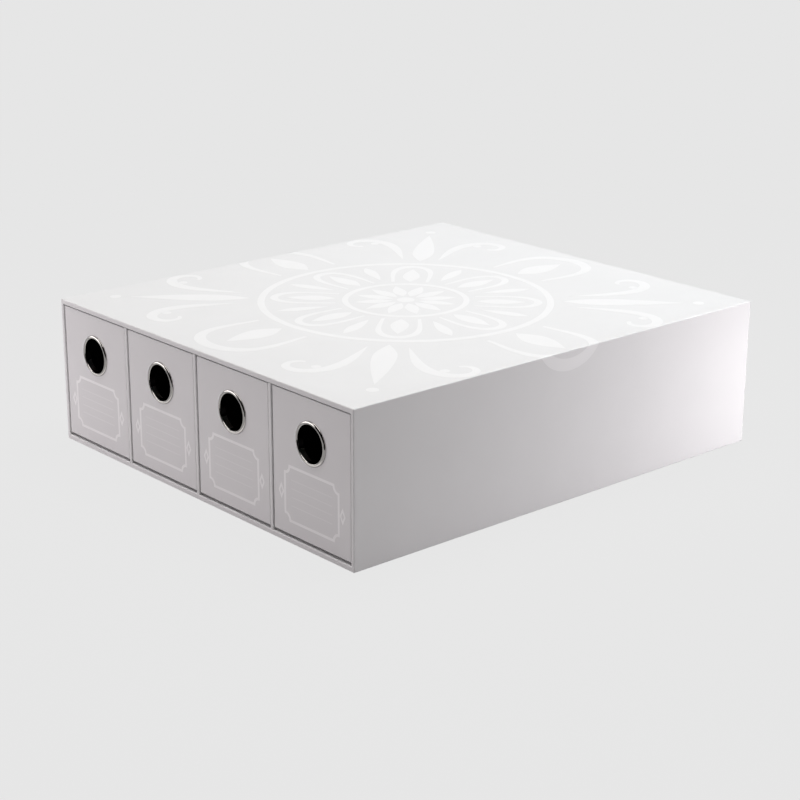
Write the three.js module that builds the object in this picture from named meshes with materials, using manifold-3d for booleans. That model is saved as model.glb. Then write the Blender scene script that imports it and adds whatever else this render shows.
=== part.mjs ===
// A trading card drawer box: a paper-wrapped board casing with four bays side by side, and in each bay
// an open-topped drawer of wrapped board with a black lining and a chrome finger ring.
// Millimetres, +Z up, the drawers face -Y, and the origin is at the centre of the footprint.

import * as THREE from 'three';
import { mergeVertices, toCreasedNormals } from 'three/addons/utils/BufferGeometryUtils.js';
import Module from 'manifold-3d';

const wasm = await Module();
wasm.setup();

// Casing, over its wrapped outside
const caseWidth = 338;
const caseDepth = 384;
const caseHeight = 110;
const drawerCount = 4;

// Board, paper and the glue line between any two bonded faces. The casing's top and base are of a
// thicker board than its upright walls, and the bay floors of a thinner one.
const casingBoard = 2.3;
const levelBoard = 3.2;
const floorBoard = 1.6;
const drawerBoard = 1.8;
const paper = 0.25;
const glue = 0.1;

// Rounding of the paper where it folds over a board edge, as multiples of its thickness
const foldShare = 1.8;
const cornerShare = 2.2;

// How far the casing's paper turns in at the mouth, under the base and over the back
const mouthTurnIn = 18;
const baseTurnUnder = 20;
const backTurnOver = 16;

// Setback of the base and back sheets from the casing's outer edges
const sheetMargin = 2;

// Bays: the dividers stand a little behind the mouth, the floor liners further in
const dividerSetback = 0.1;
const floorSetback = 12;

// Drawer clearances in its bay
const sideGap = 0.9;
const topGap = 0.8;
const runningGap = 0.3;
const backGap = 0.6;
const frontRecess = 0.7;

// Drawer paper: turn-in over the rim, and the lining's edge below the rim
const rimTurnIn = 15;
const liningDrop = 4;

// Finger ring: bore, width and height of the rolled flange, sheet metal, the lip behind the washer,
// and the ring's place below the drawer's rim
const ringBore = 25.8;
const ringFlange = 2.5;
const ringBead = 1.25;
const ringMetal = 0.4;
const ringLip = 1;
const ringBelowRim = 30;
const ringFit = 0.3;
const washerBand = 1.6;
const washerThickness = 0.5;

// Overrun of every cutter past the face it cuts
const overrun = 1;

// Facets of round shapes
const ringFacets = 40;
const beadFacets = 6;
const beadInsideFacets = 4;
const foldFacets = 2;
const creaseAngle = Math.PI / 6;

// Worked out from the sizes above
const skin = paper + glue;
const casingWall = casingBoard + 2 * skin;
const levelWall = levelBoard + 2 * skin;
const foldRadius = paper * foldShare;
const cornerRadius = paper * cornerShare;
const frontY = -caseDepth / 2;
const backY = caseDepth / 2;
const bayWidth = (caseWidth - (drawerCount + 1) * casingWall) / drawerCount;
const bayPitch = bayWidth + casingWall;
const wrapBase = skin;
const wrapBack = backY - skin;
const boardBack = wrapBack - skin;
const baseBoardLow = wrapBase + skin;
const mouthLow = wrapBase + levelWall;
const mouthHigh = caseHeight - levelWall;
const innerHalfWidth = caseWidth / 2 - casingWall;
const innerBack = boardBack - casingBoard - skin;
const floorTop = mouthLow + glue + floorBoard;
const drawerLow = floorTop + runningGap;
const drawerWidth = bayWidth - 2 * sideGap;
const drawerHeight = mouthHigh - topGap - drawerLow;
const drawerFront = frontY + frontRecess;
const drawerLength = innerBack - backGap - drawerFront;
const drawerRimWall = drawerBoard + 2 * skin;
const barrelRadius = ringBore / 2 + ringMetal;
const ringHole = barrelRadius + ringFit;
const ringReach = Math.max(0, glue + ringBead - frontRecess);

const casingPaper = new THREE.MeshStandardMaterial({ color: 0xe9e9eb, roughness: 0.6, metalness: 0 });
const innerPaper = new THREE.MeshStandardMaterial({ color: 0xdedcdd, roughness: 0.8, metalness: 0 });
const drawerPaper = new THREE.MeshStandardMaterial({ color: 0xe4e2e4, roughness: 0.6, metalness: 0 });
const greyboard = new THREE.MeshStandardMaterial({ color: 0x9a948b, roughness: 0.9, metalness: 0 });
const blackPaper = new THREE.MeshStandardMaterial({ color: 0x141416, roughness: 0.8, metalness: 0 });
const chrome = new THREE.MeshStandardMaterial({ color: 0xd8dadd, roughness: 0.12, metalness: 1 });

function toSolid(geometry) {
  const bare = geometry.clone();
  bare.deleteAttribute('normal');
  bare.deleteAttribute('uv');
  const merged = mergeVertices(bare);
  return new wasm.Manifold(new wasm.Mesh({
    numProp: 3,
    vertProperties: Float32Array.from(merged.attributes.position.array),
    triVerts: Uint32Array.from(merged.index.array),
  }));
}

function toGeometry(solid) {
  const mesh = solid.getMesh();
  const geometry = new THREE.BufferGeometry();
  geometry.setAttribute('position', new THREE.BufferAttribute(mesh.vertProperties, 3));
  geometry.setIndex(new THREE.BufferAttribute(mesh.triVerts, 1));
  return toCreasedNormals(geometry, creaseAngle);
}

function addPart(parent, name, geometry, material) {
  const mesh = new THREE.Mesh(geometry, material);
  mesh.name = name;
  parent.add(mesh);
  return mesh;
}

// A box between two values on each axis
function boxBetween([x0, x1], [y0, y1], [z0, z1]) {
  const geometry = new THREE.BoxGeometry(x1 - x0, y1 - y0, z1 - z0);
  return geometry.translate((x0 + x1) / 2, (y0 + y1) / 2, (z0 + z1) / 2);
}

// The range from -half to half
function centred(half) {
  return [-half, half];
}

// A box standing on z = 0 with all its edges rounded
function roundedBox(width, length, height) {
  const x = width / 2 - foldRadius;
  const y = length / 2 - foldRadius;
  const r = cornerRadius - foldRadius;
  const outline = new THREE.Shape();
  outline.moveTo(-x + r, -y);
  outline.lineTo(x - r, -y);
  outline.absarc(x - r, -y + r, r, -Math.PI / 2, 0, false);
  outline.lineTo(x, y - r);
  outline.absarc(x - r, y - r, r, 0, Math.PI / 2, false);
  outline.lineTo(-x + r, y);
  outline.absarc(-x + r, y - r, r, Math.PI / 2, Math.PI, false);
  outline.lineTo(-x, -y + r);
  outline.absarc(-x + r, -y + r, r, Math.PI, 1.5 * Math.PI, false);
  const geometry = new THREE.ExtrudeGeometry(outline, {
    depth: height - 2 * foldRadius,
    curveSegments: foldFacets,
    bevelEnabled: true,
    bevelThickness: foldRadius,
    bevelSize: foldRadius,
    bevelSegments: foldFacets,
  });
  return geometry.translate(0, 0, foldRadius);
}

// A solid through rectangles of changing size at rising levels, each { halfWidth, halfLength, level }
function rectangleLoft(rings) {
  const corners = [[-1, -1], [1, -1], [1, 1], [-1, 1]];
  const points = rings.flatMap((ring) => corners.map(([signX, signY]) => (
    new THREE.Vector3(signX * ring.halfWidth, signY * ring.halfLength, ring.level)
  )));
  const count = corners.length;
  const last = points.length - count;
  const faces = [0, 2, 1, 0, 3, 2, last, last + 1, last + 2, last, last + 2, last + 3];
  for (let start = 0; start < last; start += count) {
    for (let side = 0; side < count; side += 1) {
      const a = start + side;
      const b = start + (side + 1) % count;
      faces.push(a, b, b + count, a, b + count, a + count);
    }
  }
  const geometry = new THREE.BufferGeometry().setFromPoints(points);
  geometry.setIndex(faces);
  return geometry;
}

// What is cut out of a wrapped box at its mouth: a straight shaft whose last stretch flares in a quarter
// round, so that the paper folds over the rim with the same radius as on the outside
function mouthCutter(halfWidth, halfLength, bottom, rim) {
  const rings = [{ halfWidth, halfLength, level: bottom }];
  const steps = 2 * foldFacets;
  for (let step = 0; step <= steps; step += 1) {
    const turn = (step / steps) * Math.PI / 2;
    const flare = foldRadius * (1 - Math.cos(turn));
    const level = rim - foldRadius * (1 - Math.sin(turn));
    rings.push({ halfWidth: halfWidth + flare, halfLength: halfLength + flare, level });
  }
  const top = rings[rings.length - 1];
  rings.push({ ...top, level: rim + overrun });
  return toSolid(rectangleLoft(rings));
}

// The paper of a board box that stands on z = 0 with its mouth up: outside, over the rim and a turn-in.
// Its walls have one thickness across x and one across y.
function paperWrap(width, length, height, [wallX, wallY], turnIn) {
  const innerHalfX = width / 2 - wallX;
  const innerHalfY = length / 2 - wallY;
  const boardSpace = boxBetween(
    centred(width / 2 - paper),
    centred(length / 2 - paper),
    [paper, height - paper],
  );
  const inside = boxBetween(
    centred(innerHalfX + paper),
    centred(innerHalfY + paper),
    [height - turnIn, height - paper / 2],
  );
  return toSolid(roundedBox(width, length, height))
    .subtract(toSolid(boardSpace))
    .add(toSolid(inside))
    .subtract(mouthCutter(innerHalfX, innerHalfY, height - turnIn - overrun, height));
}

// Ring cutter through a drawer's front, along y
function ringCutter(radius, from, to, level) {
  const geometry = new THREE.CylinderGeometry(radius, radius, to - from, ringFacets);
  return toSolid(geometry.translate(0, (from + to) / 2, level));
}

// Casing boards: the top and base run full width, the sides and back stand between them
function addCasingBoards(parent) {
  const halfWidth = caseWidth / 2 - skin;
  const front = frontY + skin;
  const fullWidth = centred(halfWidth);
  const depth = [front, boardBack];
  const baseTop = baseBoardLow + levelBoard;
  const topLow = caseHeight - skin - levelBoard;
  const between = [baseTop + glue, topLow - glue];
  const sideInner = halfWidth - casingBoard;
  const backWidth = centred(sideInner - glue);
  const backDepth = [boardBack - casingBoard, boardBack];
  addPart(parent, 'casing_top_board', boxBetween(fullWidth, depth, [topLow, topLow + levelBoard]), greyboard);
  addPart(parent, 'casing_base_board', boxBetween(fullWidth, depth, [baseBoardLow, baseTop]), greyboard);
  addPart(parent, 'casing_left_board', boxBetween([-halfWidth, -sideInner], depth, between), greyboard);
  addPart(parent, 'casing_right_board', boxBetween([sideInner, halfWidth], depth, between), greyboard);
  addPart(parent, 'casing_back_board', boxBetween(backWidth, backDepth, between), greyboard);
}

// Printed paper round the top, the sides and the front edges, turned in at the mouth, under the base and
// over the back. It is made with its mouth up and then laid on its back.
function addCasingWrap(parent) {
  const length = caseHeight - wrapBase;
  const height = wrapBack - frontY;
  const wrap = paperWrap(caseWidth, length, height, [casingWall, levelWall], mouthTurnIn);
  const backWindow = boxBetween(
    centred(caseWidth / 2 - backTurnOver),
    centred(length / 2 - backTurnOver),
    [-overrun, paper + glue],
  );
  const baseWindow = boxBetween(
    centred(caseWidth / 2 - baseTurnUnder),
    [-length / 2 - overrun, -length / 2 + paper + glue],
    [baseTurnUnder, height - baseTurnUnder],
  );
  const opened = wrap.subtract(toSolid(backWindow)).subtract(toSolid(baseWindow));
  const geometry = toGeometry(opened);
  geometry.rotateX(Math.PI / 2);
  geometry.translate(0, wrapBack, wrapBase + length / 2);
  addPart(parent, 'casing_wrap', geometry, casingPaper);
}

// Plain paper under the base, on the back, and inside behind the turned-in paper of the mouth
function addCasingSheets(parent) {
  const sheetWidth = centred(caseWidth / 2 - sheetMargin);
  const baseDepth = [frontY + sheetMargin, backY - sheetMargin];
  const backHeight = [wrapBase + sheetMargin, caseHeight - sheetMargin];
  const liningFront = frontY + mouthTurnIn + glue;
  const liningBack = innerBack - glue;
  const liningWidth = centred(innerHalfWidth);
  const sideHeight = [mouthLow, mouthHigh - glue];
  addPart(parent, 'base_sheet', boxBetween(sheetWidth, baseDepth, [0, paper]), innerPaper);
  addPart(parent, 'back_sheet', boxBetween(sheetWidth, [backY - paper, backY], backHeight), innerPaper);
  const ceiling = boxBetween(liningWidth, [liningFront, liningBack], [mouthHigh, mouthHigh + paper]);
  addPart(parent, 'ceiling_lining', ceiling, innerPaper);
  for (const [name, side] of [['left_lining', -1], ['right_lining', 1]]) {
    const sheet = boxBetween([0, paper], [liningFront, liningBack], sideHeight);
    const mesh = addPart(parent, name, sheet, innerPaper);
    mesh.position.x = side < 0 ? -innerHalfWidth - paper : innerHalfWidth;
  }
  const backLining = boxBetween(liningWidth, [innerBack, innerBack + paper], sideHeight);
  addPart(parent, 'back_lining', backLining, innerPaper);
}

// Upright boards between the bays, each in a folded paper cover that goes round its front edge
function addDividers(parent) {
  const level = mouthLow + glue;
  const height = mouthHigh - glue - level;
  const front = frontY + dividerSetback;
  const back = innerBack - glue;
  const halfBoard = casingBoard / 2;
  const halfCover = casingWall / 2;
  const halfInside = halfCover - paper;
  const section = new THREE.Shape();
  section.moveTo(-halfCover, back);
  section.lineTo(-halfCover, front + foldRadius);
  section.absarc(-halfCover + foldRadius, front + foldRadius, foldRadius, Math.PI, 1.5 * Math.PI, false);
  section.lineTo(halfCover - foldRadius, front);
  section.absarc(halfCover - foldRadius, front + foldRadius, foldRadius, -Math.PI / 2, 0, false);
  section.lineTo(halfCover, back);
  section.lineTo(halfInside, back);
  section.lineTo(halfInside, front + paper);
  section.lineTo(-halfInside, front + paper);
  section.lineTo(-halfInside, back);
  for (let index = 1; index < drawerCount; index += 1) {
    const divider = new THREE.Group();
    divider.position.set((index - drawerCount / 2) * bayPitch, 0, level);
    parent.add(divider);
    const board = boxBetween(centred(halfBoard), [front + skin, back], [0, height]);
    addPart(divider, `divider_${index}`, board, greyboard);
    const cover = new THREE.ExtrudeGeometry(section, {
      depth: height,
      curveSegments: 2 * foldFacets,
      bevelEnabled: false,
    });
    addPart(divider, `divider_cover_${index}`, cover, innerPaper);
  }
}

function bayCentre(index) {
  return (index - (drawerCount + 1) / 2) * bayPitch;
}

// A liner board on the base of each bay, which the drawer slides on
function addBayFloors(parent) {
  for (let index = 1; index <= drawerCount; index += 1) {
    const floor = boxBetween(
      centred(bayWidth / 2 - glue),
      [frontY + floorSetback, innerBack - glue],
      [floorTop - floorBoard, floorTop],
    );
    addPart(parent, `bay_floor_${index}`, floor, innerPaper).position.x = bayCentre(index);
  }
}

// Half of the metal ring's section is its rolled flange on the drawer's front, the other half its barrel
// through the board and the lip that is clinched over the washer. y = 0 is the drawer's front face.
function ringProfile(lipStart) {
  const bore = ringBore / 2;
  const flange = bore + ringFlange;
  const middle = (bore + flange) / 2;
  const halfWidth = (flange - bore) / 2;
  const path = new THREE.Path();
  path.moveTo(bore, lipStart + ringMetal);
  path.lineTo(bore, -glue);
  for (let step = 1; step <= beadFacets; step += 1) {
    const turn = Math.PI * (1 - step / beadFacets);
    path.lineTo(middle + halfWidth * Math.cos(turn), -glue - ringBead * Math.sin(turn));
  }
  for (let step = 0; step <= beadInsideFacets; step += 1) {
    const turn = Math.PI * (step / beadInsideFacets);
    const inside = halfWidth - ringMetal;
    path.lineTo(middle + inside * Math.cos(turn), -glue - (ringBead - ringMetal) * Math.sin(turn));
  }
  path.lineTo(barrelRadius, lipStart);
  path.lineTo(barrelRadius + ringLip, lipStart);
  path.lineTo(barrelRadius + ringLip, lipStart + ringMetal);
  path.lineTo(bore, lipStart + ringMetal);
  return path.getPoints();
}

// One drawer, from its front face at y = 0 and its underside at z = 0
function addDrawer(parent, index) {
  const name = (piece) => `drawer_${index}_${piece}`;
  const drawer = new THREE.Group();
  drawer.position.set(bayCentre(index), drawerFront, drawerLow);
  parent.add(drawer);

  const halfWidth = drawerWidth / 2;
  const ringLevel = drawerHeight - ringBelowRim;
  const boardHigh = drawerHeight - skin;
  const boardHalf = halfWidth - skin;
  const innerHalf = boardHalf - drawerBoard;
  const frontInner = skin + drawerBoard;
  const backInner = drawerLength - frontInner;
  const upright = [skin, boardHigh];
  const between = [frontInner + glue, backInner - glue];

  const front = toSolid(boxBetween(centred(boardHalf), [skin, frontInner], upright))
    .subtract(ringCutter(ringHole, -overrun, frontInner + overrun, ringLevel));
  addPart(drawer, name('front_board'), toGeometry(front), greyboard);
  const back = boxBetween(centred(boardHalf), [backInner, backInner + drawerBoard], upright);
  addPart(drawer, name('back_board'), back, greyboard);
  addPart(drawer, name('left_board'), boxBetween([-boardHalf, -innerHalf], between, upright), greyboard);
  addPart(drawer, name('right_board'), boxBetween([innerHalf, boardHalf], between, upright), greyboard);
  const base = boxBetween(centred(innerHalf - glue), between, [skin, skin + drawerBoard]);
  addPart(drawer, name('base_board'), base, greyboard);

  const wrapGeometry = toGeometry(
    paperWrap(drawerWidth, drawerLength, drawerHeight, [drawerRimWall, drawerRimWall], rimTurnIn)
      .translate(0, drawerLength / 2, 0)
      .subtract(ringCutter(ringHole, -overrun, drawerRimWall + overrun, ringLevel)),
  );
  addPart(drawer, name('wrap'), wrapGeometry, drawerPaper);

  const trayHalf = halfWidth - drawerRimWall - glue;
  const trayFront = drawerRimWall + glue;
  const trayBack = drawerLength - trayFront;
  const trayLow = skin + drawerBoard + glue;
  const tray = toSolid(boxBetween(centred(trayHalf), [trayFront, trayBack], [trayLow, drawerHeight - liningDrop]));
  const trayInside = toSolid(boxBetween(
    centred(trayHalf - paper),
    [trayFront + paper, trayBack - paper],
    [trayLow + paper, drawerHeight + overrun],
  ));
  const lining = tray
    .subtract(trayInside)
    .subtract(ringCutter(ringHole, -overrun, trayFront + paper + overrun, ringLevel));
  addPart(drawer, name('lining'), toGeometry(lining), blackPaper);

  const washerStart = trayFront + paper + glue;
  const washerEnd = washerStart + washerThickness;
  const washerBore = barrelRadius + glue;
  const washerRim = washerBore + washerBand;
  const washerProfile = [
    new THREE.Vector2(washerBore, washerEnd),
    new THREE.Vector2(washerBore, washerStart),
    new THREE.Vector2(washerRim, washerStart),
    new THREE.Vector2(washerRim, washerEnd),
    new THREE.Vector2(washerBore, washerEnd),
  ];
  const washer = addPart(drawer, name('ring_washer'), new THREE.LatheGeometry(washerProfile, ringFacets), chrome);
  washer.position.z = ringLevel;
  const ringGeometry = new THREE.LatheGeometry(ringProfile(washerEnd + glue), ringFacets);
  const ring = addPart(drawer, name('finger_ring'), ringGeometry, chrome);
  ring.position.z = ringLevel;
}

const drawerBox = new THREE.Group();
drawerBox.position.y = ringReach / 2;

const casing = new THREE.Group();
drawerBox.add(casing);
addCasingBoards(casing);
addCasingWrap(casing);
addCasingSheets(casing);
addDividers(casing);
addBayFloors(casing);
for (let index = 1; index <= drawerCount; index += 1) {
  addDrawer(drawerBox, index);
}

export default drawerBox;
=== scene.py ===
"""Looks of a trading card drawer box: paper-wrapped casing, four drawers, chrome finger rings."""

import math

import bmesh
import bpy
from mathutils import Matrix, Vector


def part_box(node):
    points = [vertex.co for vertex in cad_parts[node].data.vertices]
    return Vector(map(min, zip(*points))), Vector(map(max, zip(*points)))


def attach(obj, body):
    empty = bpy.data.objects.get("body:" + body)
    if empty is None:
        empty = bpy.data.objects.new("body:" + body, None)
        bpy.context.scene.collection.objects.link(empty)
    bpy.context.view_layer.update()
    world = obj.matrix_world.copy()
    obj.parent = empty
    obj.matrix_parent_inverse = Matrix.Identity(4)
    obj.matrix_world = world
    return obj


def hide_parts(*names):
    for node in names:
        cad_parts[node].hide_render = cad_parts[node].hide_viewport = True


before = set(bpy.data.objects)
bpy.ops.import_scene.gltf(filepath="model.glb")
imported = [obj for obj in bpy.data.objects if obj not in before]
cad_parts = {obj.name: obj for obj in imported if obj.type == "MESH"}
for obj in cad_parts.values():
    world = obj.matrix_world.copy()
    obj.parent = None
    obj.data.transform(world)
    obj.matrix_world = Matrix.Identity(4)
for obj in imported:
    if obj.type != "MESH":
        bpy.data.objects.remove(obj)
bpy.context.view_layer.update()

MM = 0.001
DRAWERS = (1, 2, 3, 4)
DIVIDERS = (1, 2, 3)

# Paper and board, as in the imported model
PAPER = 0.25 * MM
CASING_WALL = 3.0 * MM
CASING_LEVEL_WALL = 3.9 * MM
DRAWER_WALL = 2.5 * MM
# How far the papers run on inside the mouth, over the back and inside the drawers' rims
MOUTH_TURN_IN = 18 * MM
BACK_TURN_OVER = 16 * MM
RIM_TURN_IN = 15 * MM

# Rounding of the paper where it folds over a board edge
CASING_FOLD = 0.85 * MM
DIVIDER_FOLD = 0.65 * MM
DRAWER_FOLD = 0.5 * MM
FOLD_STEPS = 6

# Points closer than this, in metres, become one, and edges that turn by more than this stay sharp
MERGE = 1e-7
SHARP_EDGE = math.radians(40)

# Printed ink: its height, how far it sinks into the paper, and the room left for it on the casing
INK = 0.03 * MM
INK_BED = 0.05 * MM
INK_ROOM = 0.032 * MM
# Height of the middle of the drawers' labels
LABEL_LEVEL = 35 * MM

# Finger ring: radius of its bore, and width of its flange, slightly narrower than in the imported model
RING_BORE = 12.9 * MM
RING_FLANGE = 2.4 * MM
# Share of the flange's width from the bore out to its highest line
RING_CREST = 0.27
# How far the flange stands out, the metal's thickness, and how far the lip reaches over the washer
RING_BEAD = 1.25 * MM
RING_METAL = 0.4 * MM
RING_LIP = 1.0 * MM
# The flange's outer edge curls under and stays this far off the paper
RING_CREVICE = 0.25 * MM
RING_CURL = math.radians(14)
# The cut corner between the barrel and the inside of the lip, as a share of the lip's rounding
LIP_CORNER = 0.3
# Radius and depth of the cut for the finger hole in the paper, and radius of the washer's hole
HOLE_RADIUS = RING_BORE + 0.7 * MM
HOLE_DEPTH = 4 * DRAWER_WALL
WASHER_BORE = RING_BORE + RING_METAL + 0.1 * MM
RING_SEGMENTS = 96
FLANGE_STEPS = 24
LIP_STEPS = 8

# Camera, from the photograph's perspective: angles in degrees, distances in metres
CAMERA_AZIMUTH = 48.695
CAMERA_ELEVATION = 18.404
CAMERA_ROLL = 0.199
CAMERA_DISTANCE = 1.437
CAMERA_REACH = 50
FOCAL_PIXELS = 1892.7
IMAGE_PIXELS = 800
# Width of the camera's sensor, in millimetres
SENSOR = 36
# Where the view axis passes the casing's front left foot, across and up in the view
AXIS_ACROSS = 251.75 * MM
AXIS_UP = 29.1 * MM

# Each lamp's name, place, what it points at, width and height, power, colour, and whether gloss shows it
LAMPS = (
    ("overhead", (0, 0, 1.6), (0, 0, 0.1), (1.6, 1.6), 24.4, (1, 0.972, 0.942), True),
    ("overhead_back", (0.1, 0.7, 1.1), (0, 0.1, 0.1), (0.8, 0.8), 6.5, (0.87, 0.945, 1), True),
    ("right", (0.5, 0.24, 0.07), (0.17, 0.15, 0.05), (0.16, 0.1), 0.56, (1, 0.96, 0.985), False),
    ("right_near", (0.3, 0.26, 0.05), (0.17, 0.15, 0.04), (0.08, 0.06), 0.1, (1, 0.965, 0.985), False),
    ("right_far", (1.6, 0.5, 0.25), (0.17, 0.1, 0.05), (0.6, 0.4), 3.8, (1, 0.925, 0.945), False),
    ("left", (-0.6, -0.85, 0.12), (-0.12, -0.19, 0.05), (0.24, 0.16), 2.3, (1, 0.935, 0.965), False),
    ("left_near", (-0.34, -0.34, 0.06), (-0.16, -0.19, 0.04), (0.08, 0.08), 0.075, (1, 0.935, 0.965), False),
    ("back_fill", (-0.9, 1.6, 0.12), (0, 0.1, 0.06), (0.8, 0.2), 8.0, (1, 0.97, 0.95), False),
    ("front", (0.2, -1.6, 0.25), (0, -0.2, 0.05), (0.5, 0.5), 3.1, (1, 0.925, 0.95), False),
)
# Faint light from all round
AMBIENT = 0.01
AMBIENT_COLOUR = (1.0, 0.985, 0.99)

# Background grey of the photograph
BACKGROUND = (0.791, 0.791, 0.791)
# How bright the floor and the surroundings are in reflections, next to how they look
STAGE_IN_GLOSS = 0.62

# The floor reaches this far each way, and its matt share has this grey
FLOOR_REACH = 12.0
FLOOR_GREY = (0.4, 0.4, 0.4)
# Share of the floor's look near the object that is its plain tone; the rest takes light and shadow
FLOOR_GLOW = 0.93
# How much brighter the plain tone is near the object, to make up for that shadow
FLOOR_LIFT = 1.05
# The floor's shares change between these distances from the object's middle
FLOOR_NEAR = 0.25
FLOOR_FAR = 0.9

# Painted reflections for the metal, from pieces that only reflections see: a dark cove round the front
# and right, and a glowing card to the front left and a glowing strip on the floor as painted highlights.
# Angles are about the object's middle, from +x.
SCREEN_STEPS = 24
# Each cove's name, first and last angle, and the radius where its dark floor begins
COVES = (
    ("front_cove", -120, -80, 0.8),
    ("right_cove", -80, 11, 0.45),
)
COVE_BLACK = (0.01, 0.01, 0.01)
COVE_OUTER = 2.5
COVE_HEIGHT = 3.0
COVE_LIFT = 1 * MM
CARD_START, CARD_END = -158, -121
CARD_RADIUS = 2.4
CARD_HEIGHT = 0.88
CARD_STRENGTH = 2.8
# The strip lies before the drawers, from left to right and from near to far
STRIP_LEFT, STRIP_RIGHT = -0.34, 0.12
STRIP_NEAR, STRIP_FAR = -0.268, -0.222
STRIP_LIFT = 0.5 * MM
STRIP_STRENGTH = 1.1
GLOW_COLOUR = (1, 0.99, 0.98)


def new_object(name, data):
    """A new object in the scene that shows the mesh, lamp or camera."""
    made = bpy.data.objects.new(name, data)
    bpy.context.scene.collection.objects.link(made)
    return made


def merge_points(build):
    """Makes one point of those that coincide, drops what that leaves empty, and turns the faces outward."""
    bmesh.ops.remove_doubles(build, verts=build.verts, dist=MERGE)
    bmesh.ops.dissolve_degenerate(build, edges=build.edges, dist=MERGE)
    bmesh.ops.recalc_face_normals(build, faces=build.faces)


def mesh_piece(name, vertices, faces, material):
    """A new piece from plain lists."""
    mesh = bpy.data.meshes.new(name)
    mesh.from_pydata(vertices, [], faces)
    return clean_piece(name, mesh, material)


def clean_piece(name, mesh, material, smooth=True):
    """A new piece from a mesh with merged points, and with smooth folds unless they come later."""
    build = bmesh.new()
    build.from_mesh(mesh)
    merge_points(build)
    build.to_mesh(mesh)
    build.free()
    piece = new_object(name, mesh)
    mesh.materials.append(material)
    if smooth:
        soften(piece)
    return piece


def soften(piece):
    """Smooth shading over the folds and flat shading on the panels."""
    mesh = piece.data
    mesh.polygons.foreach_set("use_smooth", [True] * len(mesh.polygons))
    mesh.set_sharp_from_angle(angle=SHARP_EDGE)
    weighted = piece.modifiers.new("normals", "WEIGHTED_NORMAL")
    weighted.keep_sharp = True
    apply_modifiers(piece)


def apply_modifiers(piece):
    """Makes what a piece's modifiers do part of its mesh."""
    bpy.context.view_layer.update()
    shown = piece.evaluated_get(bpy.context.evaluated_depsgraph_get())
    mesh = bpy.data.meshes.new_from_object(shown)
    mesh.name = piece.name
    piece.modifiers.clear()
    piece.data = mesh


def place(piece, body, slot, *nodes):
    """Lets a finished piece ride on its body and stand for the nodes it replaces. Its slot is not used."""
    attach(piece, body)
    if nodes:
        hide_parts(*nodes)


def arc(centre, radius, start, end, steps=FOLD_STEPS):
    """Points of an arc in a profile, angles in degrees."""
    points = []
    for step in range(steps + 1):
        turn = math.radians(start + (end - start) * step / steps)
        points.append((centre[0] + radius * math.cos(turn), centre[1] + radius * math.sin(turn)))
    return points


# Materials

WHITE_PAPER = (0.80, 0.80, 0.805)
DRAWER_PAPER = (0.79, 0.785, 0.792)
LINING_WHITE = (0.74, 0.735, 0.735)
INK_WHITE = (0.885, 0.885, 0.89)
LABEL_WHITE = (0.95, 0.945, 0.952)
LINE_WHITE = (0.835, 0.83, 0.837)
BLACK = (0.026, 0.026, 0.027)
GREYBOARD = (0.33, 0.31, 0.275)
CHROME = (0.52, 0.498, 0.484)

# Scales of the paper's unevenness, in waves per metre, and how its fibres are drawn out
CLOUD_SCALE = 24.0
WEAR_SCALE = 90.0
GLOSS_SCALE = 160.0
PEEL_SCALE = 260.0
FIBRE_SCALE = 1400.0
FIBRE_STRETCH = (1, 0.35, 1)
# Depths of its peel and its fibres, and how strong the peel is next to the fibres
PEEL_DEPTH = 0.12 * MM
FIBRE_DEPTH = 0.03 * MM
PEEL_SHARE = 0.6
# How far its roughness strays, and how much lighter it is on its folds, partly as wear and partly as a
# painted highlight on their rounding
GLOSS_SPREAD = 0.05
WORN_AND_HIGHLIGHT_TONE = 1.06
# The normal's largest part along an axis: above the first value a surface has neither wear nor painted
# highlight, below the second it has both in full
FLAT_NORMAL = 0.98
SLANTED_NORMAL = 0.85

# Greyboard's specks and felt, in waves per metre, and its darkest and lightest tone
SPECK_SCALE = 900.0
FELT_SCALE = 700.0
FELT_DEPTH = 0.1 * MM
SPECK_DARK = 0.72
SPECK_LIGHT = 1.18

# Chrome's film, haze and ripple, in waves per metre, its darkest tone, and between which shares its
# roughness strays
FILM_SCALE = 420.0
HAZE_SCALE = 300.0
RIPPLE_SCALE = 220.0
RIPPLE_DEPTH = 0.1 * MM
FILM_DARK = 0.96
HAZE_LEAST, HAZE_MOST = 0.7, 1.4


def new_material(name):
    """A new material, its node tree and its shader."""
    material = bpy.data.materials.new(name)
    material.use_nodes = True
    tree = material.node_tree
    shader = tree.nodes["Principled BSDF"]
    return material, tree, shader


def scaled(colour, factor):
    """A lighter or darker tone of a colour."""
    return tuple(min(1.0, part * factor) for part in colour)


def math_node(tree, operation, first, second):
    """What an operation makes of two linked values."""
    node = tree.nodes.new("ShaderNodeMath")
    node.operation = operation
    tree.links.new(first, node.inputs[0])
    tree.links.new(second, node.inputs[1])
    return node.outputs[0]


def object_noise(tree, scale, detail=4.0, roughness=0.55, stretch=(1, 1, 1)):
    """Noise over the piece's own space, in metres."""
    coordinates = tree.nodes.new("ShaderNodeTexCoord")
    mapping = tree.nodes.new("ShaderNodeMapping")
    mapping.inputs["Scale"].default_value = stretch
    noise = tree.nodes.new("ShaderNodeTexNoise")
    noise.inputs["Scale"].default_value = scale
    noise.inputs["Detail"].default_value = detail
    noise.inputs["Roughness"].default_value = roughness
    tree.links.new(coordinates.outputs["Object"], mapping.inputs["Vector"])
    tree.links.new(mapping.outputs["Vector"], noise.inputs["Vector"])
    return noise.outputs["Fac"]


def map_range(tree, factor, low, high, to_low=0.0, to_high=1.0):
    """Spreads a value between low and high over the second range."""
    ranged = tree.nodes.new("ShaderNodeMapRange")
    ranged.inputs["From Min"].default_value = low
    ranged.inputs["From Max"].default_value = high
    ranged.inputs["To Min"].default_value = to_low
    ranged.inputs["To Max"].default_value = to_high
    tree.links.new(factor, ranged.inputs["Value"])
    return ranged.outputs["Result"]


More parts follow.
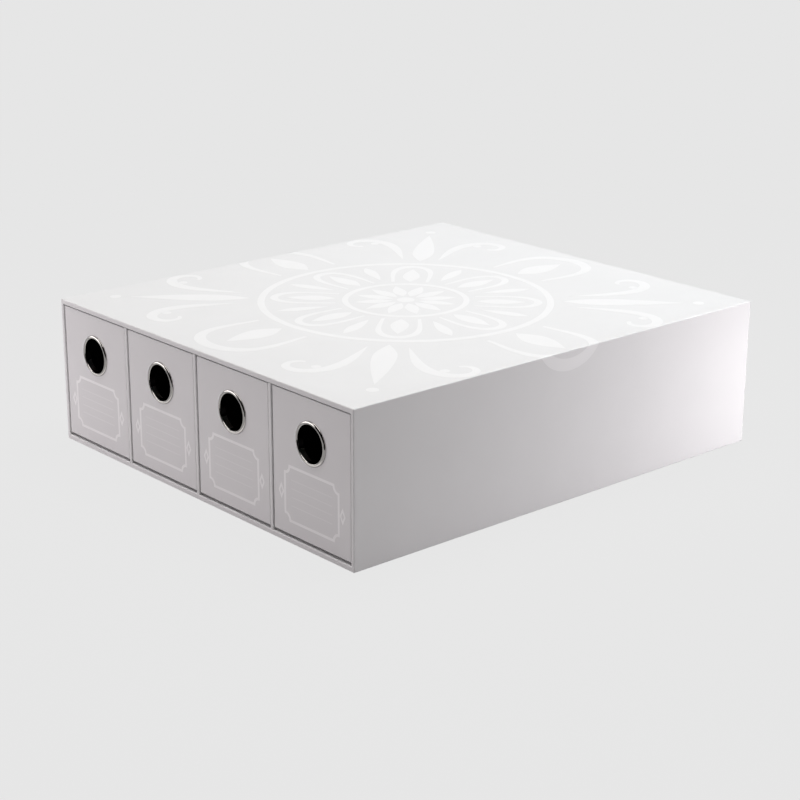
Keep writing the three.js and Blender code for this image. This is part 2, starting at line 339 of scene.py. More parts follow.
def colour_mix(tree, factor, second):
    """A colour mix towards a plain colour, and the socket of its first colour."""
    mixed = tree.nodes.new("ShaderNodeMix")
    mixed.data_type = "RGBA"
    mixed.inputs[7].default_value = (*second, 1)
    tree.links.new(factor, mixed.inputs[0])
    return mixed.outputs[2], mixed.inputs[6]


def blend_colours(tree, factor, low, high):
    """Mixes two plain colours."""
    result, first = colour_mix(tree, factor, high)
    first.default_value = (*low, 1)
    return result


def tint_colour(tree, factor, linked, plain):
    """Mixes a linked colour towards a plain one."""
    result, first = colour_mix(tree, factor, plain)
    tree.links.new(linked, first)
    return result


def fold_wear_and_highlight(tree):
    """Where paper turns over an edge, lighter for wear and as a painted highlight, broken up by noise:
    high on slanted surfaces, none on the panels.
    """
    coordinates = tree.nodes.new("ShaderNodeTexCoord")
    absolute = tree.nodes.new("ShaderNodeVectorMath")
    absolute.operation = "ABSOLUTE"
    tree.links.new(coordinates.outputs["Normal"], absolute.inputs[0])
    split = tree.nodes.new("ShaderNodeSeparateXYZ")
    tree.links.new(absolute.outputs[0], split.inputs[0])
    sideways = math_node(tree, "MAXIMUM", split.outputs[0], split.outputs[1])
    largest = math_node(tree, "MAXIMUM", sideways, split.outputs[2])
    slanted = map_range(tree, largest, FLAT_NORMAL, SLANTED_NORMAL)
    noise = object_noise(tree, WEAR_SCALE, detail=4.0, roughness=0.65)
    patches = map_range(tree, noise, low=0.35, high=0.6)
    return math_node(tree, "MULTIPLY", slanted, patches)


def add_bump(tree, shader, height, strength, distance, under=None):
    """Lays a fine unevenness on a shader's surface, on top of the one under it if that is given."""
    bump = tree.nodes.new("ShaderNodeBump")
    bump.inputs["Strength"].default_value = strength
    bump.inputs["Distance"].default_value = distance
    tree.links.new(height, bump.inputs["Height"])
    if under is not None:
        tree.links.new(under, bump.inputs["Normal"])
    tree.links.new(bump.outputs["Normal"], shader.inputs["Normal"])
    return bump.outputs["Normal"]


def paper_material(name, colour, roughness=0.55, grain=0.12, mottle=0.02, specular=0.35):
    """Coated paper: fine fibre grain, a faint cloudiness in tone and a soft unevenness of its gloss."""
    material, tree, shader = new_material(name)
    cloud = map_range(tree, object_noise(tree, CLOUD_SCALE, detail=5.0), low=0.3, high=0.7)
    tone = blend_colours(tree, cloud, scaled(colour, 1 - mottle), colour)
    # The folds get lighter: partly wear, partly a painted highlight on their rounding
    tone = tint_colour(tree, fold_wear_and_highlight(tree), tone, scaled(colour, WORN_AND_HIGHLIGHT_TONE))
    tree.links.new(tone, shader.inputs["Base Color"])
    sheen = object_noise(tree, GLOSS_SCALE, detail=3.0)
    gloss = map_range(tree, sheen, 0.3, 0.7, roughness - GLOSS_SPREAD, roughness + GLOSS_SPREAD)
    tree.links.new(gloss, shader.inputs["Roughness"])
    shader.inputs["Specular IOR Level"].default_value = specular
    fibre = object_noise(tree, FIBRE_SCALE, detail=3.0, roughness=0.6, stretch=FIBRE_STRETCH)
    peel = object_noise(tree, PEEL_SCALE, detail=2.0, roughness=0.5)
    under = add_bump(tree, shader, peel, grain * PEEL_SHARE, PEEL_DEPTH)
    add_bump(tree, shader, fibre, grain, FIBRE_DEPTH, under)
    return material


def board_material(name, colour):
    """Greyboard: recycled fibre with darker and lighter specks."""
    material, tree, shader = new_material(name)
    noise = object_noise(tree, SPECK_SCALE, detail=6.0, roughness=0.75)
    specks = map_range(tree, noise, low=0.35, high=0.68)
    tone = blend_colours(tree, specks, scaled(colour, SPECK_DARK), scaled(colour, SPECK_LIGHT))
    tree.links.new(tone, shader.inputs["Base Color"])
    shader.inputs["Roughness"].default_value = 0.92
    shader.inputs["Specular IOR Level"].default_value = 0.2
    felt = object_noise(tree, FELT_SCALE, detail=5.0, roughness=0.7)
    add_bump(tree, shader, felt, strength=0.35, distance=FELT_DEPTH)
    return material


def chrome_material(name, colour, roughness=0.045):
    """Bright plated steel with the faint ripple of a rolled edge."""
    material, tree, shader = new_material(name)
    shader.inputs["Metallic"].default_value = 1.0
    film = map_range(tree, object_noise(tree, FILM_SCALE, detail=3.0), low=0.35, high=0.65)
    tone = blend_colours(tree, film, scaled(colour, FILM_DARK), colour)
    tree.links.new(tone, shader.inputs["Base Color"])
    cloud = object_noise(tree, HAZE_SCALE, detail=4.0)
    haze = map_range(tree, cloud, 0.3, 0.7, roughness * HAZE_LEAST, roughness * HAZE_MOST)
    tree.links.new(haze, shader.inputs["Roughness"])
    ripple = object_noise(tree, RIPPLE_SCALE, detail=2.0)
    add_bump(tree, shader, ripple, strength=0.05, distance=RIPPLE_DEPTH)
    return material


casing_paper = paper_material("casing_paper", WHITE_PAPER)
drawer_paper = paper_material("drawer_paper", DRAWER_PAPER)
inner_paper = paper_material("inner_paper", LINING_WHITE, roughness=0.75, grain=0.2)
black_paper = paper_material("black_paper", BLACK, roughness=0.7, grain=0.25, mottle=0.15, specular=0.3)
top_ink = paper_material("top_ink", INK_WHITE, roughness=0.42, grain=0.06, mottle=0.01, specular=0.4)
label_ink = paper_material("label_ink", LABEL_WHITE, roughness=0.45, grain=0.06, mottle=0.01, specular=0.4)
line_ink = paper_material("line_ink", LINE_WHITE, roughness=0.5, grain=0.06, mottle=0.01)
greyboard = board_material("greyboard", GREYBOARD)
chrome = chrome_material("chrome", CHROME)


# Wrapped board boxes


def rectangle_ring(half_x, half_y, corner, level):
    """Points round a rectangle with rounded corners, the same number whatever the corner."""
    points = []
    for quarter, (sign_x, sign_y) in enumerate(((1, 1), (-1, 1), (-1, -1), (1, -1))):
        centre = (sign_x * (half_x - corner), sign_y * (half_y - corner))
        for x, y in arc(centre, corner, 90 * quarter, 90 * quarter + 90):
            points.append((x, y, level))
    return points


def wrap_profile(height, fold, turn_in, turn_over):
    """Outside of the paper from its turned-in end over the rim and down, then its glued side back up.
    Each point is (0 for the wall's inner face or 1 for its outer face, distance out from it, level)."""
    glued = fold - PAPER
    inner_side = [(0, height - turn_in)] + arc((fold, height - fold), fold, 180, 90)
    outer_side = arc((-fold, height - fold), fold, 90, 0) + arc((-fold, fold), fold, 0, -90)
    outer_glued = arc((-fold, fold), glued, -90, 0) + arc((-fold, height - fold), glued, 0, 90)
    inner_glued = arc((fold, height - fold), glued, 90, 180) + [(PAPER, height - turn_in)]
    if turn_over:
        outer_side.append((-turn_over, 0))
        outer_glued.insert(0, (-turn_over, PAPER))
    outside = [(0, *point) for point in inner_side] + [(1, *point) for point in outer_side]
    inside = [(1, *point) for point in outer_glued] + [(0, *point) for point in inner_glued]
    return outside, inside


def wrapped_mesh(name, half_x, half_y, height, walls, fold, turn_in, turn_over=0):
    """Paper round a board box that stands on level 0 with its mouth up. Its walls have one thickness
    across x and one across y. Without a turn-over the paper also covers the underside."""
    outside, inside = wrap_profile(height, fold, turn_in, turn_over)
    vertices = []
    for face, out, level in outside + inside:
        x = half_x - (1 - face) * walls[0] + out
        y = half_y - (1 - face) * walls[1] + out
        corner = max(0.0, fold + out) * face
        vertices += rectangle_ring(x, y, corner, level)
    rings = len(outside) + len(inside)
    count = len(vertices) // rings
    faces = []
    for ring in range(rings):
        here = ring * count
        there = (ring + 1) % rings * count
        if ring == len(outside) - 1 and not turn_over:
            faces.append([here + i for i in range(count)])
            faces.append([there + i for i in range(count)])
            continue
        for i in range(count):
            j = (i + 1) % count
            faces.append((here + i, here + j, there + j, there + i))
    mesh = bpy.data.meshes.new(name)
    mesh.from_pydata(vertices, [], faces)
    return mesh


def cut_round_hole(piece, centre, radius, depth):
    """Cuts a round hole along y through a piece."""
    mesh = bpy.data.meshes.new("cutter")
    build = bmesh.new()
    bmesh.ops.create_cone(
        build,
        cap_ends=True,
        segments=RING_SEGMENTS,
        radius1=radius,
        radius2=radius,
        depth=depth,
        matrix=Matrix.Translation(centre) @ Matrix.Rotation(math.pi / 2, 4, "X"),
    )
    build.to_mesh(mesh)
    build.free()
    cutter = new_object("cutter", mesh)
    cut = piece.modifiers.new("hole", "BOOLEAN")
    cut.operation = "DIFFERENCE"
    cut.solver = "EXACT"
    cut.object = cutter
    apply_modifiers(piece)
    bpy.data.objects.remove(cutter)


def make_casing_wrap():
    """Printed paper round the whole casing, made with its mouth up and laid on its back."""
    name = "casing_wrap_paper"
    low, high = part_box("casing_wrap")
    half_x = (high.x - low.x) / 2 - INK_ROOM
    half_y = (high.z - low.z - INK_ROOM) / 2
    depth = high.y - low.y
    walls = (CASING_WALL, CASING_LEVEL_WALL)
    mesh = wrapped_mesh(name, half_x, half_y, depth, walls, CASING_FOLD, MOUTH_TURN_IN, BACK_TURN_OVER)
    mesh.transform(Matrix.Rotation(math.pi / 2, 4, "X"))
    mesh.transform(Matrix.Translation(((low.x + high.x) / 2, high.y, low.z + half_y)))
    place(clean_piece(name, mesh, casing_paper), "casing", "casing_paper", "casing_wrap")


def make_divider_cover(index):
    """Folded paper round a divider's front edge and both its sides."""
    node = f"divider_cover_{index}"
    low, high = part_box(node)
    half = (high.x - low.x) / 2
    middle = (high.x + low.x) / 2
    inside = half - PAPER
    left_fold = (-half + DIVIDER_FOLD, low.y + DIVIDER_FOLD)
    right_fold = (half - DIVIDER_FOLD, low.y + DIVIDER_FOLD)
    section = [(-half, high.y)]
    section += arc(left_fold, DIVIDER_FOLD, 180, 270)
    section += arc(right_fold, DIVIDER_FOLD, 270, 360)
    section += [(half, high.y), (inside, high.y)]
    section += arc(right_fold, DIVIDER_FOLD - PAPER, 360, 270)
    section += arc(left_fold, DIVIDER_FOLD - PAPER, 270, 180)
    section += [(-inside, high.y)]
    count = len(section)
    vertices = [(middle + x, y, z) for z in (low.z, high.z) for x, y in section]
    faces = [list(range(count)), list(range(count, 2 * count))]
    for i in range(count):
        j = (i + 1) % count
        faces.append((i, j, count + j, count + i))
    piece = mesh_piece(f"divider_{index}_cover_paper", vertices, faces, casing_paper)
    place(piece, "casing", "casing_paper", node)


def make_drawer_wrap(index):
    """Paper round a drawer, outside and over its rim, with the finger hole."""
    node = f"drawer_{index}_wrap"
    low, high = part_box(node)
    half_x = (high.x - low.x) / 2
    half_y = (high.y - low.y) / 2
    walls = (DRAWER_WALL, DRAWER_WALL)
    mesh = wrapped_mesh(node, half_x, half_y, high.z - low.z, walls, DRAWER_FOLD, RIM_TURN_IN)
    mesh.transform(Matrix.Translation(((low.x + high.x) / 2, (low.y + high.y) / 2, low.z)))
    piece = clean_piece(f"drawer_{index}_wrap_paper", mesh, drawer_paper, smooth=False)
    ring_low, ring_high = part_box(f"drawer_{index}_finger_ring")
    centre = (ring_low + ring_high) / 2
    cut_round_hole(piece, (centre.x, low.y, centre.z), HOLE_RADIUS, HOLE_DEPTH)
    soften(piece)
    place(piece, f"drawer_{index}", "drawer_paper", node)


# Printed ornament, flat shapes first, in millimetres from the middle of the print

# Directions that the rosette's leaves and loops point in, in degrees
TWELFTHS = [30 * i for i in range(12)]
EIGHTHS = [45 * i for i in range(8)]
BETWEEN_EIGHTHS = [22.5 + degrees for degrees in EIGHTHS]
QUARTERS = [90 * i for i in range(4)]
CORNERS = (47, 133, 227, 313)
# Middle of the corner scrolls' curls
SCROLL_EYE = (171.5, 42.5)
# A cut that passes this close to a point, in metres, goes through it
CUT_SNAP = 1e-8

# Label frame: half its width and height, its notched corners, and half its line's width
LABEL_HALF_WIDTH = 27.5
LABEL_HALF_HEIGHT = 19.0
LABEL_NOTCH = 5.0
LABEL_BAND = 0.95
NOTCH_STEPS = 8
# Lozenges: half their width and height, how far they stand off the frame, and half their line's width
LOZENGE_HALF_WIDTH = 2.1
LOZENGE_HALF_HEIGHT = 4.4
LOZENGE_OFF = 3.9
LOZENGE_BAND = 0.65
# Lines to write on: half their length and width, and their levels from the label's middle
LINE_HALF_LENGTH = 21.0
LINE_HALF_WIDTH = 0.36
LINE_LEVELS = (10.0, 4.0, -2.0, -8.0)


def curling_line(start, heading, length, first_bend, last_bend, steps=60, power=2.2):
    """A line that starts nearly straight and curls up, its bends in degrees per millimetre."""
    x, y = start
    turn = math.radians(heading)
    points = [(x, y)]
    step = length / steps
    for i in range(steps):
        share = ((i + 0.5) / steps) ** power
        bend = math.radians(first_bend + (last_bend - first_bend) * share)
        turn += bend * step / 2
        x += step * math.cos(turn)
        y += step * math.sin(turn)
        turn += bend * step / 2
        points.append((x, y))
    return points


def teardrop_line(inner, outer, spread, power=0.75, belly=0.55, steps=48):
    """A loop from its two open ends near the middle to its round outer end."""
    points = []
    for i in range(steps + 1):
        turn = math.pi * i / steps
        reach = math.sin(turn) ** power
        side = math.cos(turn) * (1 + belly * math.sin(turn))
        points.append((inner + (outer - inner) * reach, -spread * side))
    return points


def straight_line(inner, outer, steps=24):
    return [(inner + (outer - inner) * i / steps, 0) for i in range(steps + 1)]


def circle_line(radius, centre=(0, 0), steps=144):
    turns = [2 * math.pi * i / steps for i in range(steps)]
    return [(centre[0] + radius * math.cos(t), centre[1] + radius * math.sin(t)) for t in turns]


def brush_stroke(points, half, start=0.0, end=0.0, peak=0.5):
    """Faces of a stroke, with half its width at its peak and the shares of that at its start and end."""
    edges = []
    for i, (x, y) in enumerate(points):
        share = i / (len(points) - 1)
        if share < peak:
            part, blunt = share / peak, start
        else:
            part, blunt = (1 - share) / (1 - peak), end
        wide = half * (blunt + (1 - blunt) * math.sin(part * math.pi / 2))
        before = points[max(i - 1, 0)]
        after = points[min(i + 1, len(points) - 1)]
        along = Vector((after[0] - before[0], after[1] - before[1])).normalized()
        left = (x - along.y * wide, y + along.x * wide)
        right = (x + along.y * wide, y - along.x * wide)
        edges.append((left, right))
    return [(a[0], a[1], b[1], b[0]) for a, b in zip(edges, edges[1:])]


def closed_band(points, half):
    """Faces of an even band along a closed line."""
    edges = []
    for i, point in enumerate(points):
        here = Vector(point)
        before = (here - Vector(points[i - 1])).normalized()
        after = (Vector(points[(i + 1) % len(points)]) - here).normalized()
        side = Vector((-before.y - after.y, before.x + after.x)) * half / (1 + before.dot(after))
        edges.append((tuple(here + side), tuple(here - side)))
    return [(a[0], a[1], b[1], b[0]) for a, b in zip(edges, edges[1:] + edges[:1])]


def turned(faces, degrees, mirrored=False):
    """The faces turned about the print's middle, after mirroring them across x if that is asked."""
    cosine = math.cos(math.radians(degrees))
    sine = math.sin(math.radians(degrees))
    sign = -1 if mirrored else 1
    result = []
    for face in faces:
        result.append([(cosine * x - sine * sign * y, sine * x + cosine * sign * y) for x, y in face])
    return result


def repeated(faces, directions, both_sides=False):
    """The faces turned to every direction, on one side of it or on both."""
    result = []
    for degrees in directions:
        result += turned(faces, degrees)
        if both_sides:
            result += turned(faces, degrees, mirrored=True)
    return result


def leaf(inner, outer, half, peak):
    """A leaf that points outward, with the share of its length where it is widest."""
    return brush_stroke(straight_line(inner, outer), half, peak=peak)


def loop(inner, outer, spread, half, ends):
    """A looped line, with its open ends as shares of its width."""
    return brush_stroke(teardrop_line(inner, outer, spread), half, start=ends, end=ends)


def medallion_faces():
    """A generic rosette with loops on its axes and scrolls towards the corners."""
    scroll = curling_line(start=(121, 14), heading=14, length=112, first_bend=-0.05, last_bend=8.3)
    faces = [circle_line(radius=6.5, steps=48)]
    faces += repeated(leaf(inner=10, outer=39, half=5.0, peak=0.42), TWELFTHS)
    faces += closed_band(circle_line(radius=45), half=2.2)
    faces += repeated(loop(inner=51, outer=98, spread=13, half=2.9, ends=0.4), EIGHTHS)
    faces += repeated(leaf(inner=52, outer=90, half=6.5, peak=0.42), EIGHTHS)
    faces += repeated(leaf(inner=60, outer=99, half=4.5, peak=0.62), BETWEEN_EIGHTHS)
    faces += closed_band(circle_line(radius=107), half=2.6)
    faces += repeated(loop(inner=116, outer=178.5, spread=27, half=4.4, ends=0.3), QUARTERS)
    faces += repeated(leaf(inner=116, outer=164, half=9.5, peak=0.42), QUARTERS)
    faces += repeated(leaf(inner=116, outer=205, half=8.5, peak=0.32), CORNERS)
    faces += repeated([circle_line(radius=4.2, centre=(216, 0), steps=36)], CORNERS)
    faces += repeated(brush_stroke(scroll, half=4.3, end=0.3), CORNERS, both_sides=True)
    faces += repeated([circle_line(radius=3.4, centre=SCROLL_EYE, steps=36)], CORNERS, both_sides=True)
    return faces


def label_faces():
    """A generic label frame with notched corners and a lozenge at each side."""
    outline = []
    for quarter, (sign_x, sign_y) in enumerate(((1, 1), (-1, 1), (-1, -1), (1, -1))):
        corner = (sign_x * LABEL_HALF_WIDTH, sign_y * LABEL_HALF_HEIGHT)
        start = 270 + 90 * quarter
        outline += arc(corner, LABEL_NOTCH, start, start - 90, NOTCH_STEPS)
    faces = closed_band(outline, LABEL_BAND)
    for side in (-1, 1):
        middle = side * (LABEL_HALF_WIDTH + LOZENGE_OFF)
        lozenge = [
            (LOZENGE_HALF_WIDTH + middle, 0),
            (middle, LOZENGE_HALF_HEIGHT),
            (-LOZENGE_HALF_WIDTH + middle, 0),
            (middle, -LOZENGE_HALF_HEIGHT),
        ]
        faces += closed_band(lozenge, LOZENGE_BAND)
    return faces


def line_faces():
    """Thin lines to write on."""
    faces = []
    for level in LINE_LEVELS:
        low = level - LINE_HALF_WIDTH
        high = level + LINE_HALF_WIDTH
        left, right = -LINE_HALF_LENGTH, LINE_HALF_LENGTH
        faces.append([(left, low), (right, low), (right, high), (left, high)])
    return faces


def flat_print(faces, cuts=()):
    """One flat mesh of the faces, in metres, facing up and cut at the given distances either side."""
    build = bmesh.new()
    for face in faces:
        build.faces.new([build.verts.new((x * MM, y * MM, 0)) for x, y in face])
    merge_points(build)
    for face in build.faces:
        if face.normal.z < 0:
            face.normal_flip()
    for cut in cuts:
        for side in (-1, 1):
            bmesh.ops.bisect_plane(
                build,
                geom=build.verts[:] + build.edges[:] + build.faces[:],
                plane_co=(side * cut, 0, 0),
                plane_no=(1, 0, 0),
                dist=CUT_SNAP,
            )
    return build


def raised_print(name, build, material):
    """Gives a laid print its thickness, from just inside the paper to the height of the ink."""
    mesh = bpy.data.meshes.new(name)
    build.to_mesh(mesh)
    build.free()
    mesh.materials.append(material)
    piece = new_object(name, mesh)
    thicken = piece.modifiers.new("ink", "SOLIDIFY")
    thicken.thickness = INK + INK_BED
    thicken.offset = 1
    thicken.use_even_offset = True
    apply_modifiers(piece)
    return piece


def make_medallion():
    """The print on the casing's top; its side loops run over the folds and down the walls."""
    low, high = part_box("casing_wrap")
    middle = (low + high) / 2
    fold_start = (high.x - low.x) / 2 - INK_ROOM - CASING_FOLD
    fold_length = CASING_FOLD * math.pi / 2
    level = high.z - INK_ROOM
    inner = CASING_FOLD - INK_BED
    cuts = [fold_start + fold_length * i / FOLD_STEPS for i in range(FOLD_STEPS + 1)]
    build = flat_print(medallion_faces(), cuts)
    for vertex in build.verts:
        side = -1 if vertex.co.x < 0 else 1
        beyond = abs(vertex.co.x) - fold_start
        turn = min(max(beyond / CASING_FOLD, 0), math.pi / 2)
        x = abs(vertex.co.x) if beyond <= 0 else fold_start + inner * math.sin(turn)
        drop = max(beyond - fold_length, 0)
        z = level - CASING_FOLD + inner * math.cos(turn) - drop
        vertex.co = (middle.x + side * x, middle.y + vertex.co.y, z)
    place(raised_print("casing_top_print", build, top_ink), "casing", "casing_paper")


def make_label(index):
    """The print on a drawer's front."""
    low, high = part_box(f"drawer_{index}_wrap")
    middle = (low.x + high.x) / 2
    for name, faces, material in (("frame", label_faces(), label_ink), ("lines", line_faces(), line_ink)):
        build = flat_print(faces)
        for vertex in build.verts:
            vertex.co = (middle + vertex.co.x, low.y + INK_BED, LABEL_LEVEL + vertex.co.y)
        piece = raised_print(f"drawer_{index}_label_{name}", build, material)
        place(piece, f"drawer_{index}", "drawer_paper")


# Finger rings


def lathe(name, profile, centre, material):
    """A closed profile of (radius, y) turned about an axis along y through centre."""
    vertices = []
    for step in range(RING_SEGMENTS):
        turn = 2 * math.pi * step / RING_SEGMENTS
        for radius, y in profile:
            vertices.append((centre.x + radius * math.cos(turn), y, centre.z + radius * math.sin(turn)))
    count = len(profile)
    faces = []
    for step in range(RING_SEGMENTS):
        start = step * count
        following = ((step + 1) % RING_SEGMENTS) * count
        for i in range(count):
            j = (i + 1) % count
            faces.append((start + i, start + j, following + j, following + i))
    return mesh_piece(name, vertices, faces, material)


def flange_line(lift, tall, metal):
    """The flange's section from the bore over its crest to its outer edge, set in by the given metal."""
    crest = RING_BORE + RING_CREST * RING_FLANGE
    inner = RING_CREST * RING_FLANGE - metal
    outer = (1 - RING_CREST) * RING_FLANGE - metal
    points = []
    for step in range(FLANGE_STEPS + 1):
        turn = math.pi - (math.pi + RING_CURL) * step / FLANGE_STEPS
        reach = inner if turn > math.pi / 2 else outer
        points.append((crest + reach * math.cos(turn), lift - tall * math.sin(turn)))
    return points


def make_finger_ring(index):
    """Rolled flange on the drawer's front, barrel through the board, and lip curled over the washer."""
    node = f"drawer_{index}_finger_ring"
    low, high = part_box(node)
    centre = (low + high) / 2
    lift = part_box(f"drawer_{index}_wrap")[0].y - RING_CREVICE
    tall = RING_BEAD - RING_CREVICE
    curl = RING_LIP / 2
    corner = curl * LIP_CORNER
    barrel = RING_BORE + RING_METAL
    rounding = RING_METAL / 2
    profile = flange_line(lift, tall, 0)
    profile.reverse()
    profile += [(RING_BORE, high.y - curl)]
    profile += arc((RING_BORE + curl, high.y - curl), curl, 180, 90, LIP_STEPS)[1:]
    profile += arc((barrel + RING_LIP - rounding, high.y - rounding), rounding, 90, -90)
    profile += [(barrel + corner, high.y - RING_METAL), (barrel, high.y - RING_METAL - corner)]
    profile += flange_line(lift, tall - RING_METAL, RING_METAL)
    piece = lathe(f"drawer_{index}_ring", profile, centre, chrome)
    place(piece, f"drawer_{index}", "chrome", node)


def make_washer(index):
    """Flat washer with rounded edges behind the drawer's front."""
    node = f"drawer_{index}_ring_washer"
    low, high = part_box(node)
    centre = (low + high) / 2
    outer = (high.x - low.x) / 2
    edge = (high.y - low.y) / 2
    profile = arc((WASHER_BORE + edge, centre.y), edge, 90, 270)
    profile += arc((outer - edge, centre.y), edge, 270, 450)
    piece = lathe(f"drawer_{index}_washer", profile, centre, chrome)
    place(piece, f"drawer_{index}", "chrome", node)


def dress_nodes():
    """Boards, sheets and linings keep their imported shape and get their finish."""
    dividers = [f"divider_{number}" for number in DIVIDERS]
    for name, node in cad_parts.items():
        if name.endswith("_board") or name in dividers:
            material = greyboard
        elif name.startswith("drawer") and name.endswith("_lining"):
            material = black_paper
        else:
            material = inner_paper
        node.data.materials.clear()
        node.data.materials.append(material)


# Camera and stage


def make_camera():
    """A camera that sees the object as the photograph shows it."""
    azimuth = math.radians(CAMERA_AZIMUTH)
    elevation = math.radians(CAMERA_ELEVATION)
    back = Vector((
        math.sin(azimuth) * math.cos(elevation),
        -math.cos(azimuth) * math.cos(elevation),
        math.sin(elevation),
    ))
    right = Vector((0, 0, 1)).cross(back).normalized()
    up = back.cross(right)
    roll = math.radians(CAMERA_ROLL)
    rolled_right = math.cos(roll) * right + math.sin(roll) * up
    rolled_up = -math.sin(roll) * right + math.cos(roll) * up
    low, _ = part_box("casing_wrap")
    foot = Vector((low.x, low.y, 0))
    place_at = foot + AXIS_ACROSS * rolled_right + AXIS_UP * rolled_up + CAMERA_DISTANCE * back
    rotation = Matrix((rolled_right, rolled_up, back)).transposed()
    data = bpy.data.cameras.new("camera")
    data.sensor_width = SENSOR
    data.lens = FOCAL_PIXELS * SENSOR / IMAGE_PIXELS
    data.clip_end = CAMERA_REACH
    camera = new_object("camera", data)
    camera.matrix_world = Matrix.Translation(place_at) @ rotation.to_4x4()
    bpy.context.scene.camera = camera


def area_lamp(name, position, target, size, power, colour, in_gloss, unlit):
    """A lamp that reflections see, or one that they don't see and that leaves the floor unlit."""
    data = bpy.data.lights.new(name, "AREA")
    data.shape = "RECTANGLE"
    data.size = size[0]
    data.size_y = size[1]
    data.energy = power
    data.color = colour
    lamp = new_object(name, data)
    lamp.location = position
    direction = Vector(target) - Vector(position)
    lamp.rotation_euler = direction.to_track_quat("-Z", "Y").to_euler()
    lamp.visible_camera = False
    lamp.visible_glossy = in_gloss
    if not in_gloss:
        lamp.light_linking.receiver_collection = unlit


def leave_out(piece):
    """A lamp's list that holds one piece, which that lamp doesn't light."""
    listed = bpy.data.collections.new("unlit")
    listed.objects.link(piece)
    listed.collection_objects[0].light_linking.link_state = "EXCLUDE"
    return listed


def stage_in_view(tree):
    """Whether the eye or a reflection sees the stage, and how bright it is in that view."""
    path = tree.nodes.new("ShaderNodeLightPath")
    seen = math_node(tree, "MAXIMUM", path.outputs["Is Camera Ray"], path.outputs["Is Glossy Ray"])
    bright = map_range(tree, path.outputs["Is Glossy Ray"], 0, 1, 1.0, STAGE_IN_GLOSS)
    return seen, bright


def mix_looks(tree, factor, first, second, output):
    """Shows a mix of two looks at the tree's output."""
    mix = tree.nodes.new("ShaderNodeMixShader")
    tree.links.new(factor, mix.inputs[0])
    tree.links.new(first.outputs[0], mix.inputs[1])
    tree.links.new(second.outputs[0], mix.inputs[2])
    tree.links.new(mix.outputs[0], tree.nodes[output].inputs["Surface"])


def floor_material():
    """Mostly a plain tone, so that the floor keeps only a faint shadow, and wholly plain far off."""
    material, tree, matt = new_material("floor")
    matt.inputs["Base Color"].default_value = (*FLOOR_GREY, 1)
    matt.inputs["Roughness"].default_value = 1.0
    matt.inputs["Specular IOR Level"].default_value = 0.0
    seen, bright = stage_in_view(tree)
    coordinates = tree.nodes.new("ShaderNodeTexCoord")
    distance = tree.nodes.new("ShaderNodeVectorMath")
    distance.operation = "LENGTH"
    tree.links.new(coordinates.outputs["Object"], distance.inputs[0])
    lift = map_range(tree, distance.outputs["Value"], FLOOR_NEAR, FLOOR_FAR, FLOOR_LIFT, 1.0)
    plain = tree.nodes.new("ShaderNodeEmission")
    plain.inputs["Color"].default_value = (*BACKGROUND, 1)
    tree.links.new(math_node(tree, "MULTIPLY", lift, bright), plain.inputs["Strength"])
    plainness = map_range(tree, distance.outputs["Value"], FLOOR_NEAR, FLOOR_FAR, FLOOR_GLOW, 1.0)
    share = math_node(tree, "MULTIPLY", seen, plainness)
    mix_looks(tree, share, matt, plain, "Material Output")
    return material


def make_floor():
    """A pale floor that keeps a faint shadow."""
    mesh = bpy.data.meshes.new("floor")
    corners = [(x * FLOOR_REACH, y * FLOOR_REACH, 0) for x, y in ((-1, -1), (1, -1), (1, 1), (-1, 1))]
    mesh.from_pydata(corners, [], [(0, 1, 2, 3)])
    mesh.materials.append(floor_material())
    floor = new_object("floor", mesh)
    return floor


def mirrored_piece(name, vertices, faces, material):
    """A part of the stage that only reflections see."""
    mesh = bpy.data.meshes.new(name)
    mesh.from_pydata(vertices, [], faces)
    mesh.materials.append(material)
    screen = new_object(name, mesh)
    screen.visible_camera = False
    screen.visible_diffuse = False
    screen.visible_transmission = False
    screen.visible_shadow = False


def mirrored_screen(name, profile, first, last, material):
    """A curved screen that only reflections see: a profile of (radius, level) swept between two angles."""
    vertices = []
    for step in range(SCREEN_STEPS + 1):
        turn = math.radians(first + (last - first) * step / SCREEN_STEPS)
        for radius, level in profile:
            vertices.append((radius * math.cos(turn), radius * math.sin(turn), level))
    count = len(profile)
    faces = []
    for step in range(SCREEN_STEPS):
        for i in range(count - 1):
            a = step * count + i
            faces.append((a, a + 1, a + count + 1, a + count))
    mirrored_piece(name, vertices, faces, material)


def dark_reflection_material():
    """The cove's dark matt surface, for painted dark reflections."""
    material, _, shader = new_material("cove")
    shader.inputs["Base Color"].default_value = (*COVE_BLACK, 1)
    shader.inputs["Specular IOR Level"].default_value = 0.0
    return material


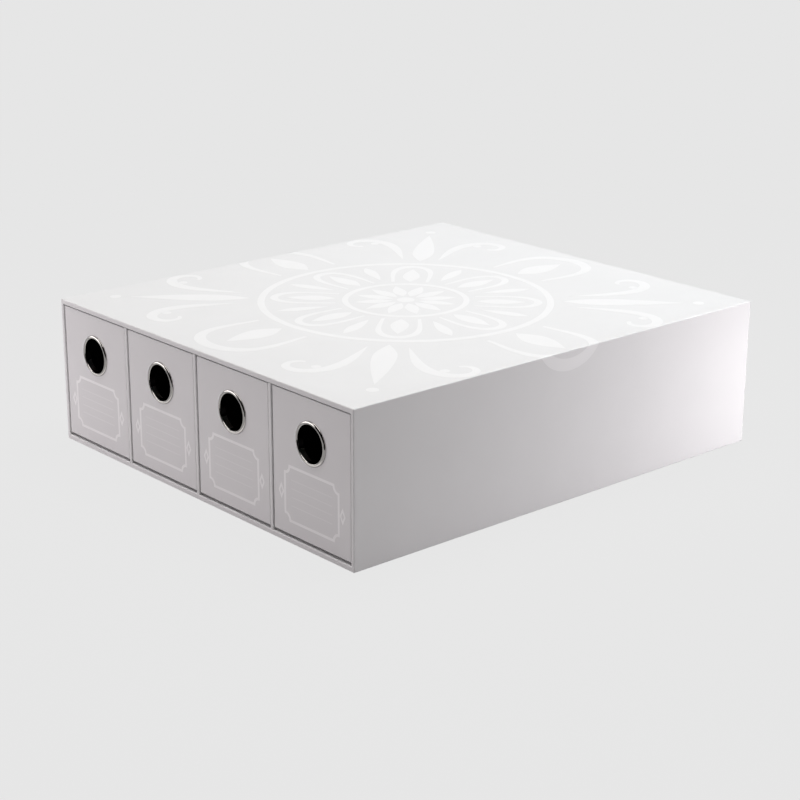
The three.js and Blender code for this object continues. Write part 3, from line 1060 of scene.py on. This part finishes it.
def glowing_material(name, strength):
    """A surface that shines by itself and reflects nothing."""
    material, _, shader = new_material(name)
    shader.inputs["Base Color"].default_value = (0, 0, 0, 1)
    shader.inputs["Specular IOR Level"].default_value = 0.0
    shader.inputs["Emission Color"].default_value = (*GLOW_COLOUR, 1)
    shader.inputs["Emission Strength"].default_value = strength
    return material


def make_dark_reflection_cove(name, start, end, inner, material):
    """Dark floor and wall beyond one side, seen only in reflections: painted dark reflections on the metal.
    """
    profile = [(inner, COVE_LIFT), (COVE_OUTER, COVE_LIFT), (COVE_OUTER, COVE_HEIGHT)]
    mirrored_screen(name, profile, start, end, material)


def make_highlight_card():
    """Glowing card beside the cove, seen only in reflections: a painted highlight on the metal."""
    name = "front_left_highlight_card"
    profile = [(CARD_RADIUS, 0), (CARD_RADIUS, CARD_HEIGHT)]
    mirrored_screen(name, profile, CARD_START, CARD_END, glowing_material(name, CARD_STRENGTH))


def make_highlight_strip():
    """Glowing strip on the floor just before the drawers, seen only in reflections: a painted highlight on
    the metal.
    """
    corners = [
        (STRIP_LEFT, STRIP_NEAR, STRIP_LIFT),
        (STRIP_RIGHT, STRIP_NEAR, STRIP_LIFT),
        (STRIP_RIGHT, STRIP_FAR, STRIP_LIFT),
        (STRIP_LEFT, STRIP_FAR, STRIP_LIFT),
    ]
    mirrored_piece("strip", corners, [(0, 1, 2, 3)], glowing_material("strip", STRIP_STRENGTH))


def make_world():
    """Faint light from all round, and the background as the eye and reflections see it."""
    world = bpy.data.worlds.new("world")
    bpy.context.scene.world = world
    world.use_nodes = True
    tree = world.node_tree
    ambient = tree.nodes["Background"]
    ambient.inputs["Color"].default_value = (*AMBIENT_COLOUR, 1)
    ambient.inputs["Strength"].default_value = AMBIENT
    shown = tree.nodes.new("ShaderNodeBackground")
    shown.inputs["Color"].default_value = (*BACKGROUND, 1)
    seen, bright = stage_in_view(tree)
    tree.links.new(bright, shown.inputs["Strength"])
    mix_looks(tree, seen, ambient, shown, "World Output")


make_casing_wrap()
for number in DIVIDERS:
    make_divider_cover(number)
for number in DRAWERS:
    make_drawer_wrap(number)
    make_finger_ring(number)
    make_washer(number)
    make_label(number)
make_medallion()
dress_nodes()

make_camera()
unlit_floor = leave_out(make_floor())
dark = dark_reflection_material()
for cove in COVES:
    make_dark_reflection_cove(*cove, dark)
make_highlight_card()
make_highlight_strip()
make_world()
for lamp in LAMPS:
    area_lamp(*lamp, unlit_floor)

bpy.context.scene.view_settings.view_transform = "Standard"
